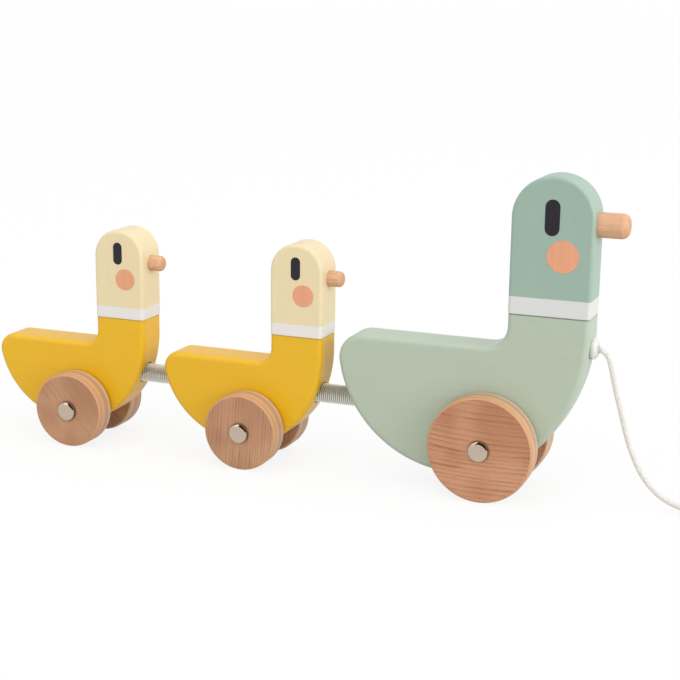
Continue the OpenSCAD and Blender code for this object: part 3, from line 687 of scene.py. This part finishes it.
nickel = nickel_plate()
for duck in ducks:
    fit(turn_caps(duck), duck.name, "nickel", nickel, duck.name + "_hub_caps")


# Collars: a short block of the same board, drilled for the dowel and painted white, glued between
# body and head. Its lower edge is broken, which leaves a fine groove above the neck; the groove's
# dark shade is also painted onto the body's paint below it.
HEAD_EDGE_R = 0.002


def saw_collar(duck):
    """The collar's block, with round upright edges and a broken lower edge."""
    height = duck.head_z - duck.collar_z
    piece = pencil_down(duck.name + "_painted_collar", (duck.rear, 0, duck.collar_z))
    draw_line(x=duck.width)
    draw_line(z=height)
    draw_line(x=-duck.width)
    draw_line(z=-height)
    saw_board()

    def upright(a, b):
        return abs(a.z - b.z) > height / 2

    def at_bottom(a, b):
        return max(a.z, b.z) < duck.collar_z + TOUCH

    pick_edges(piece, upright)
    sand_edges(HEAD_EDGE_R, EDGE_STEPS)
    pick_edges(piece, at_bottom)
    sand_edges(SEAM_BREAK, SEAM_STEPS)
    bpy.ops.object.mode_set(mode="OBJECT")
    below = (duck.middle, 0, duck.collar_z - height)
    drill(piece, DOWEL_BORE_R, below, (duck.middle, 0, duck.head_z + height))
    return piece


white_paint = water_paint("white_paint", "#d8d8d6", GRAIN_ALONG_X)
warm_white_paint = water_paint("warm_white_paint", "#e6e1da", GRAIN_ALONG_X)
collar_paints = [white_paint, warm_white_paint, warm_white_paint]
mother_collar = saw_collar(mother)
front_collar = saw_collar(front)
rear_collar = copy_piece(front_collar, "rear_duckling_painted_collar", rear_shift)
for duck, piece, paint in zip(ducks, [mother_collar, front_collar, rear_collar], collar_paints):
    smooth(piece)
    fit(piece, duck.name, "white_paint", paint, duck.name + "_collar")


# Heads: sawn from the board with the grain upright and a round top, drilled for the dowel below and
# the beak in front, painted, and glued on the collar with a hidden dowel.
BEAK_DEPTH = 0.010
BEAK_GLUE = 0.00005
DOWEL_UP = 0.011
DOME_STEPS = 48


def beak_axis(duck):
    """A beak's height, radius and tip."""
    low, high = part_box(duck.name + "_beak")
    return (low.z + high.z) / 2, (high.z - low.z) / 2, high.x


def saw_head(duck):
    """The head's block, with round edges except at the collar."""
    piece = pencil_down(duck.name + "_painted_head", (duck.rear, 0, duck.head_z))
    draw_line(x=duck.width)
    draw_line(z=duck.dome_z - duck.head_z)
    draw_arc((duck.middle, 0, duck.dome_z), pi, DOME_STEPS)
    draw_line(z=duck.head_z - duck.dome_z)
    saw_board()

    def on_a_face(a, b):
        return abs(a.y - b.y) < TOUCH and max(a.z, b.z) > duck.head_z + TOUCH

    pick_edges(piece, on_a_face)
    sand_edges(HEAD_EDGE_R, EDGE_STEPS)
    bpy.ops.object.mode_set(mode="OBJECT")
    low_end = (duck.middle, 0, duck.head_z - DOWEL_UP)
    drill(piece, DOWEL_BORE_R, low_end, (duck.middle, 0, duck.head_z + DOWEL_UP))
    z, radius, _ = beak_axis(duck)
    root = (duck.front - BEAK_DEPTH, 0, z)
    drill(piece, radius + BEAK_GLUE, root, (duck.front + BEAK_DEPTH, 0, z))
    return piece


pond_green_paint = water_paint("pond_green_paint", "#99b1a2", GRAIN_ALONG_Z)
cream_paint = water_paint("cream_paint", "#e7d5ab", GRAIN_ALONG_Z)
head_paints = [
    ("pond_green_paint", pond_green_paint),
    ("cream_paint", cream_paint),
    ("cream_paint", cream_paint),
]
mother_head = saw_head(mother)
front_head = saw_head(front)
rear_head = copy_piece(front_head, "rear_duckling_painted_head", rear_shift)
for duck, piece, (slot, paint) in zip(ducks, [mother_head, front_head, rear_head], head_paints):
    smooth(piece)
    fit(piece, duck.name, slot, paint, duck.name + "_head")


# Beaks, dowels and spring pegs: round pegs of pale beech. The beaks are turned with a round tip and
# oiled; the dowels and spring pegs are cut from rod, glued in and stay as packed, out of sight.
BEAK_TIP = {"mother": 0.004, "front_duckling": 0.0025, "rear_duckling": 0.0025}
TIP_STEPS = 12


def turn_beak(duck):
    """The peg's half section from its root in the head to its round tip, turned."""
    z, radius, tip = beak_axis(duck)
    tip_r = BEAK_TIP[duck.name]
    root = duck.front - BEAK_DEPTH
    piece = pencil_down(duck.name + "_turned_beak", (root, 0, z))
    draw_line(z=radius)
    draw_line(x=tip - tip_r - root)
    draw_arc((tip - tip_r, 0, z + radius - tip_r), -pi / 2, TIP_STEPS)
    draw_line(z=tip_r - radius)
    turn_round((root, 0, z), (1, 0, 0), LATHE_STEPS)
    smooth(piece)
    return piece


def pale_beech():
    """Pale beech with fine grain along the peg, darker flecks and end grain at the tip."""
    material, shader, wire = finish("beech")
    place = wire.node("TexCoord", output="Object")
    strands = wire.stretch(place, (60.0, 1300.0, 1300.0))
    fibres = wire.noise(strands, 1.0, detail=3.0, roughness=0.6)
    dashes = wire.noise(wire.stretch(place, (420.0, 2600.0, 2600.0)), 1.0, detail=1.0)
    flecks = dashes.between(0.6, 0.72)
    facing = wire.axis(wire.node("NewGeometry", output="Normal"), "X")
    colour = wire.mix(fibres.between(0.3, 0.7), shade("#e1b18c"), shade("#d19f78"))
    colour = wire.mix(facing.between(0.3, 1.0) * 0.4, colour, shade("#c38b62"))
    colour = wire.mix(flecks * 0.25, colour, shade("#a8714a"))
    wire.feed(shader.inputs["Base Color"], colour)
    wire.feed(shader.inputs["Roughness"], 0.45 + 0.2 * fibres)
    relief(wire, shader, fibres * 0.5 - flecks, 0.00006)
    return material


beech = pale_beech()
for duck in ducks:
    fit(turn_beak(duck), duck.name, "beech", beech, duck.name + "_beak")
    dress_node(duck.name + "_neck_dowel", beech)
for node in ("mother_spring_peg", "front_duckling_spring_pegs", "rear_duckling_spring_peg"):
    dress_node(node, beech)


# Eyes and cheeks: films of ink printed on both faces of each head, a tall dark oval and a round
# coral spot. They stay as packed, and get the ink's slight unevenness over the grain.
def printed_ink(name, code, roughness):
    """A thin film of ink, a little uneven over the upright grain."""
    material, shader, wire = finish(name, Specular_IOR_Level=0.3)
    place = wire.node("TexCoord", output="Object")
    grain = wire.noise(wire.stretch(place, GRAIN_ALONG_Z), 30.0, detail=3.0)
    speck = wire.noise(place, 1800.0, detail=1.0)
    colour = wire.mix(grain.between(0.3, 0.7), shade(code, 0.97), shade(code, 1.03))
    wire.feed(shader.inputs["Base Color"], colour)
    wire.feed(shader.inputs["Roughness"], roughness + 0.15 * speck)
    relief(wire, shader, grain * 0.6 + speck * 0.3, 0.00003)
    return material


black_print = printed_ink("black_print", "#232127", 0.45)
coral_print = printed_ink("coral_print", "#e2a07b", 0.5)
for duck in ducks:
    dress_node(duck.name + "_eyes", black_print)
    dress_node(duck.name + "_cheeks", coral_print)


# Springs: close-wound coil springs of steel wire, pushed into bores in tail and chest over a glued
# peg, that let the ducklings sway behind. Each is made as two halves, split at its middle.
WIRE_D = 0.0011
SPRING_D = 0.0108
SPRING_PITCH = 0.0012
CURL_STEPS = 28
TURN_PARTS = 8
WIRE_SIDES = 10
TUBE_SMOOTH_ANGLE = radians(50)


def spaced_frames(points):
    """The heading at each point and a vector across it that turns as little as it can."""
    ends = [points[0]] + points + [points[-1]]
    headings = [(ends[i + 2] - ends[i]).normalized() for i in range(len(points))]
    across = [headings[0].orthogonal().normalized()]
    for heading in headings[1:]:
        across.append((across[-1] - heading * across[-1].dot(heading)).normalized())
    return headings, across


def wind_tube(name, points, diameter, sides):
    """A round tube along the points, closed at both ends, with its length along V on its map."""
    headings, across = spaced_frames(points)
    corners, faces, maps, along = [], [], [], 0.0
    for i, point in enumerate(points):
        side = headings[i].cross(across[i])
        for k in range(sides):
            a = 2 * pi * k / sides
            corners.append(point + diameter / 2 * (across[i] * cos(a) + side * sin(a)))
    for i in range(len(points) - 1):
        step = (points[i + 1] - points[i]).length
        for k in range(sides):
            j = (k + 1) % sides
            faces.append((i * sides + k, i * sides + j, (i + 1) * sides + j, (i + 1) * sides + k))
            u, w = k / sides, (k + 1) / sides
            maps += [(u, along), (w, along), (w, along + step), (u, along + step)]
        along += step
    last = (len(points) - 1) * sides
    faces.append(tuple(reversed(range(sides))))
    faces.append(tuple(range(last, last + sides)))
    maps += [(0.5, 0.0)] * sides + [(0.5, along)] * sides
    mesh = bpy.data.meshes.new(name)
    mesh.from_pydata(corners, [], faces)
    mesh.uv_layers.new(name="UVMap").data.foreach_set("uv", [v for pair in maps for v in pair])
    piece = bpy.data.objects.new(name, mesh)
    bpy.context.collection.objects.link(piece)
    activate(piece)
    bpy.ops.object.shade_smooth_by_angle(angle=TUBE_SMOOTH_ANGLE)
    return piece


def spring_line(node):
    """The wire's middle line along a packed spring, straight for a wire's width at each end."""
    low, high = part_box(node)
    length = high.x - low.x
    radius = (SPRING_D - WIRE_D) / 2
    helix = length - 2 * WIRE_D
    count = int(helix / SPRING_PITCH * TURN_PARTS) / TURN_PARTS
    steps = int(count * CURL_STEPS)

    def spot(x, turns):
        a = 2 * pi * turns
        return Vector((low.x + x, radius * sin(a), SPRING_Z + radius * cos(a)))

    curls = [spot(WIRE_D + helix * i / steps, count * i / steps) for i in range(steps + 1)]
    return [spot(0, 0)] + curls + [spot(length, count)]


def spring_steel_wire():
    """Bright steel wire with drawing marks along it."""
    material, shader, wire = finish("spring_steel", Metallic=1.0)
    place = wire.node("TexCoord", output="UV")
    marks = wire.noise(wire.stretch(place, (40.0, 300.0, 1.0)), 1.0, detail=3.0)
    wire.feed(shader.inputs["Base Color"], wire.mix(marks, shade("#c9c8bf"), shade("#e2e1d9")))
    wire.feed(shader.inputs["Roughness"], 0.34 + 0.1 * marks)
    return material


spring_steel = spring_steel_wire()
for node, ahead, behind in (("front_spring", mother, front), ("rear_spring", front, rear)):
    line = spring_line(node)
    middle = len(line) // 2
    chest = Vector((behind.chest_at(SPRING_Z), 0, SPRING_Z))
    tail = Vector((ahead.tail_at(SPRING_Z), 0, SPRING_Z))
    rear_half = wind_tube(node + "_rear_half", line[: middle + 1], WIRE_D, WIRE_SIDES)
    front_half = wind_tube(node + "_front_half", line[middle:], WIRE_D, WIRE_SIDES)
    for half in (rear_half, front_half):
        half.data.materials.append(spring_steel)
        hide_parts(node)
    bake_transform(rear_half)
    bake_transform(front_half)


# Cord plug: a small moulded button with a stem, pushed into the mother's chest, through which the
# pull cord runs. Its rim stands against the paint and its dome is pierced by the cord.
PLUG_D = 0.0114
PLUG_OUT = 0.0036
PLUG_RIM = 0.00036
PLUG_SEAT = 0.0003
PLUG_STEM_R = 0.004
PLUG_STEM_L = 0.011
PLUG_STEPS = 14
CORD_D = 0.0032
CORD_PLAY = 0.00035


def turn_plug():
    """The button's half section: bore, stem, rim seated in the chest and dome, turned."""
    hole = CORD_D / 2 + CORD_PLAY
    dome = PLUG_OUT - PLUG_RIM
    piece = pencil_down("cord_button", (mother.front - PLUG_STEM_L, 0, PLUG_Z + hole))
    draw_line(z=PLUG_STEM_R - hole)
    draw_line(x=PLUG_STEM_L - PLUG_SEAT)
    draw_line(z=PLUG_D / 2 - PLUG_STEM_R)
    draw_line(x=PLUG_SEAT + PLUG_RIM)
    top = atan2(sqrt((PLUG_D / 2) ** 2 - hole**2), hole)
    last = (PLUG_D / 2, 0.0)
    for i in range(1, PLUG_STEPS + 1):
        a = top * i / PLUG_STEPS
        here = (PLUG_D / 2 * cos(a), dome * sin(a))
        draw_line(x=here[1] - last[1], z=here[0] - last[0])
        last = here
    draw_line(x=-last[1] - PLUG_RIM - PLUG_STEM_L)
    turn_round((mother.front, 0, PLUG_Z), (1, 0, 0), LATHE_STEPS)
    smooth(piece)
    return piece


def moulded_button():
    """Off-white moulded plastic with a soft satin skin."""
    material, shader, wire = finish(
        "cord_plug", Subsurface_Weight=0.9, Subsurface_Radius=(1, 1, 1), Subsurface_Scale=0.01
    )
    grain = wire.noise(wire.node("TexCoord", output="Object"), 1200.0)
    wire.feed(shader.inputs["Base Color"], wire.mix(grain, shade("#e4ddd6"), shade("#ebe5df")))
    wire.feed(shader.inputs["Roughness"], 0.38 + 0.12 * grain)
    relief(wire, shader, grain, 0.00001)
    return material


fit(turn_plug(), "mother", "cord_plug", moulded_button(), "cord_plug")


# Pull cord: a limp braided cotton cord, knotted behind the plug, that falls to the floor ahead of
# the mother. The rest of its length is wound into a flat coil of two layers, held by a paper tie,
# and ends in a stopper knot.
CORD_ROUTE = [
    (0.0410, 0.0829), (0.0460, 0.0829), (0.0510, 0.0829), (0.0544, 0.0828), (0.0573, 0.0820),
    (0.0595, 0.0801), (0.0609, 0.0774), (0.0619, 0.0740), (0.0631, 0.0695), (0.0651, 0.0615),
    (0.0680, 0.0515), (0.0715, 0.0395), (0.0745, 0.0310), (0.0780, 0.0235), (0.0820, 0.0170),
    (0.0875, 0.0110), (0.0930, 0.0071), (0.1000, 0.0043), (0.1070, 0.0028), (0.1140, 0.0020),
    (0.1210, 0.0017), (0.1280, 0.0018), (0.1350, 0.0021), (0.1400, 0.0023),
]
COIL_R = 0.0205
COIL_STEP = 0.0037
COIL_LAYER_TURNS = 2
COIL_TURNS = 2 * COIL_LAYER_TURNS + 0.5
COIL_TAIL = 0.015
END_KNOT_D = 0.0076
ANCHOR_KNOT_D = 0.0062
FLOOR_PLAY = 0.0001
ROUTE_STEPS = 4
LOOP_STEPS = 40
COIL_TAIL_STEPS = 8
KNOT_STEPS = 96
KNOT_PULL = 0.42
CORD_SIDES = 16
BRAID_STRANDS = 4
BRAID_PITCH = 0.0034


def eased(points, steps):
    """A smooth line through the points, with that many steps between each two of them."""
    spread = [2 * points[0] - points[1]] + points + [2 * points[-1] - points[-2]]
    line = []
    for a, b, c, d in zip(spread, spread[1:], spread[2:], spread[3:]):
        for i in range(steps):
            t = i / steps
            bow = 2 * a - 5 * b + 4 * c - d
            swing = 3 * b - a - 3 * c + d
            line.append(0.5 * (2 * b + (c - a) * t + bow * t**2 + swing * t**3))
    return line + [points[-1]]


def coil_spot(turns):
    """A point of the coil: inwards on the floor, then outwards on top of it."""
    radius = COIL_R - COIL_STEP * min(turns, COIL_TURNS - turns)
    climb = max(0.0, min(1.0, (turns - COIL_LAYER_TURNS) * 2))
    a = 2 * pi * turns - pi / 2
    rise = COIL_STEP * climb * climb * (3 - 2 * climb)
    return Vector((radius * cos(a), COIL_R + radius * sin(a), rise))


fall = eased([mother_floor + Vector((x, 0, z)) for x, z in CORD_ROUTE], ROUTE_STEPS)
coil_start = fall[-1]
coil_steps = int(COIL_TURNS * LOOP_STEPS)
coil = [coil_start + coil_spot(i / LOOP_STEPS) for i in range(1, coil_steps + 1)]
leave = coil[-1]
drop = leave.z - END_KNOT_D / 2 - FLOOR_PLAY
loose_end = []
for i in range(1, COIL_TAIL_STEPS + 1):
    t = i / COIL_TAIL_STEPS
    loose_end.append(leave - Vector((COIL_TAIL * t, 0, drop * t * t * (3 - 2 * t))))
loose_end.append(loose_end[-1] - Vector((CORD_D, 0, 0)))
cord_line = fall + coil + loose_end
cord_length = sum((b - a).length for a, b in zip(cord_line, cord_line[1:]))


def stopper_knot(name, centre, size, turn):
    """A tight overhand knot: the cord crosses itself three times in a ball of the given size."""
    girth = CORD_D * KNOT_PULL
    reach = (size / 2 - girth) / 3
    points = []
    for i in range(KNOT_STEPS + 1):
        t = 2 * pi * i / KNOT_STEPS
        spot = Vector((sin(t) + 2 * sin(2 * t), cos(t) - 2 * cos(2 * t), -1.5 * sin(3 * t)))
        points.append(centre + Matrix.Rotation(turn, 3, "Y") @ (spot * reach))
    return wind_tube(name, points, 2 * girth, CORD_SIDES)


def braided_cotton():
    """Soft cotton braid: two sets of strands cross round the cord, with a fine fuzz of fibres."""
    material, shader, wire = finish(
        "cord",
        Specular_IOR_Level=0.0,
        Sheen_Weight=0.1,
        Subsurface_Weight=1.0,
        Subsurface_Radius=(1, 1, 1),
        Subsurface_Scale=0.01,
    )
    place = wire.node("TexCoord", output="UV")
    u = wire.axis(place, "X") * (2 * pi * BRAID_STRANDS)
    v = wire.axis(place, "Y") * (2 * pi / BRAID_PITCH)
    one = u.maths("SINE", u + v)
    other = u.maths("SINE", u - v)
    strands = one.maths("MAXIMUM", one, other) * 0.5 + 0.5
    fuzz = wire.noise(wire.node("TexCoord", output="Object"), 2500.0)
    colour = wire.mix(strands.between(0.2, 0.9), shade("#c9c3ba"), shade("#d1ccc4"))
    colour = wire.mix(fuzz * 0.3, colour, shade("#d5d0c9"))
    wire.feed(shader.inputs["Base Color"], colour)
    wire.feed(shader.inputs["Roughness"], 0.78 + 0.15 * fuzz)
    relief(wire, shader, strands + fuzz * 0.3, 0.00006)
    return material


cord = braided_cotton()
pull_cord = wind_tube("pull_cord_braid", cord_line, CORD_D, CORD_SIDES)
fit(pull_cord, "mother", "cord", cord, "pull_cord", "pull_cord_coil")
anchor_centre = Vector((mother.front - PLUG_STEM_L - CORD_PLAY - ANCHOR_KNOT_D / 2, 0, PLUG_Z))
anchor_knot = stopper_knot("anchor_stopper_knot", anchor_centre, ANCHOR_KNOT_D, pi / 2)
fit(anchor_knot, "mother", "cord", cord, "anchor_knot")
end_centre = cord_line[-1] - Vector((END_KNOT_D / 2, 0, 0))
end_knot = stopper_knot("end_stopper_knot", end_centre, END_KNOT_D, pi / 2)
fit(end_knot, "mother", "cord", cord, "end_knot")


def kraft_paper():
    """Brown paper ribbon with long fibres."""
    material, shader, wire = finish("paper_tie")
    place = wire.node("TexCoord", output="Object")
    fibres = wire.noise(wire.stretch(place, (900.0, 300.0, 900.0)), 1.0, detail=3.0)
    wire.feed(shader.inputs["Base Color"], wire.mix(fibres, shade("#b98f63"), shade("#d0aa7e")))
    wire.feed(shader.inputs["Roughness"], 0.7 + 0.2 * fibres)
    relief(wire, shader, fibres, 0.00005)
    return material


dress_node("coil_tie", kraft_paper())


# Floor and light: a plain white table that keeps the soft shadows under the wheels, two broad soft
# lights, a large soft panel ahead and an even white room. The room's dark side shows only in
# reflections, most of all in the bright metal.
SEEN_RAYS = ("Is Camera Ray", "Is Glossy Ray")
TABLE_SIZE = 30
TABLE_GREY = (0.55, 0.55, 0.55, 1)
TABLE_GLOW = 0.86
TABLE_SHADE = (0.13, 0.13, 0.13, 1)
WHITE = (1, 1, 1, 1)
ROOM_LIGHT = 0.5
SUN_STAND = 2


def shown_rays(wire):
    """1 on rays from the camera and off bright surfaces, 0 on light that falls on the ducks."""
    rays = wire.node("LightPath")
    seen = [Wire(wire.tree, rays.socket.node.outputs[name]) for name in SEEN_RAYS]
    return seen[0].maths("MAXIMUM", *seen)


bpy.ops.object.select_all(action="DESELECT")
bpy.ops.mesh.primitive_plane_add(size=TABLE_SIZE)
floor = bpy.context.object
floor.name = "table_top"
table_white, shader, wire = finish("table_white")
shader.inputs["Base Color"].default_value = TABLE_GREY
grain = wire.noise(wire.node("TexCoord", output="Object"), 60.0)
wire.feed(shader.inputs["Roughness"], 0.85 + 0.1 * grain)
glow = wire.node("Emission", None, {"Color": WHITE, "Strength": TABLE_GLOW})
matt = wire.node("BsdfDiffuse", None, {"Color": TABLE_SHADE})
white = wire.node("AddShader", None, {0: glow, 1: matt})
lit = Wire(wire.tree, shader.outputs[0])
shown = wire.node("MixShader", None, {0: shown_rays(wire), 1: lit, 2: white})
wire.feed(wire.tree.nodes["Material Output"].inputs["Surface"], shown)
floor.data.materials.append(table_white)

SOFT_LIGHTS = {
    "overhead_light": (Vector((0.1, -0.1, 1)), 0.33, radians(100)),
    "near_light": (Vector((0.1, -1, 0.5)), 0.38, radians(90)),
}
for name, (towards, level, spread) in SOFT_LIGHTS.items():
    bpy.ops.object.light_add(type="SUN", location=mother_floor + SUN_STAND * towards)
    light = bpy.context.object
    light.name = name
    light.rotation_euler = towards.to_track_quat("Z", "Y").to_euler()
    light.data.energy = level * pi
    light.data.angle = spread

AHEAD_REACH = 2.6
AHEAD_LEVEL = 0.635
AHEAD_SIDE = Vector((1, -0.13, 0.29))
AHEAD_SIZE = (3.0, 1.4)
bpy.ops.object.light_add(type="AREA", location=mother_floor + AHEAD_REACH * AHEAD_SIDE)
panel = bpy.context.object
panel.name = "ahead_light"
panel.rotation_euler = AHEAD_SIDE.to_track_quat("Z", "Y").to_euler()
panel.data.shape = "RECTANGLE"
panel.data.size, panel.data.size_y = AHEAD_SIZE
panel.data.energy = AHEAD_LEVEL * (pi * AHEAD_REACH) ** 2
panel.visible_camera = False

DARK_MIDDLE = mother_floor + Vector((1.35, -1.6, 2.1))
DARK_SIZE = 4.2
upright = (pi / 2, 0, 0)
bpy.ops.mesh.primitive_plane_add(size=DARK_SIZE, location=DARK_MIDDLE, rotation=upright)
dark_side = bpy.context.object
dark_side.name = "dark_side_of_the_room"
dark_cloth, shader, wire = finish("dark_cloth", Specular_IOR_Level=0.0)
weave = wire.noise(wire.node("TexCoord", output="Object"), 40.0)
cloth = wire.mix(weave, (0.01, 0.01, 0.01, 1), (0.02, 0.02, 0.02, 1))
wire.feed(shader.inputs["Base Color"], cloth)
dark_side.data.materials.append(dark_cloth)
dark_side.visible_camera = False
dark_side.visible_diffuse = False
dark_side.visible_shadow = False

room = bpy.data.worlds.new("white_room")
bpy.context.scene.world = room
room.use_nodes = True
wire = Wire(room.node_tree)
background = room.node_tree.nodes["Background"]
background.inputs["Color"].default_value = WHITE
wire.feed(background.inputs["Strength"], ROOM_LIGHT + (1 - ROOM_LIGHT) * shown_rays(wire))
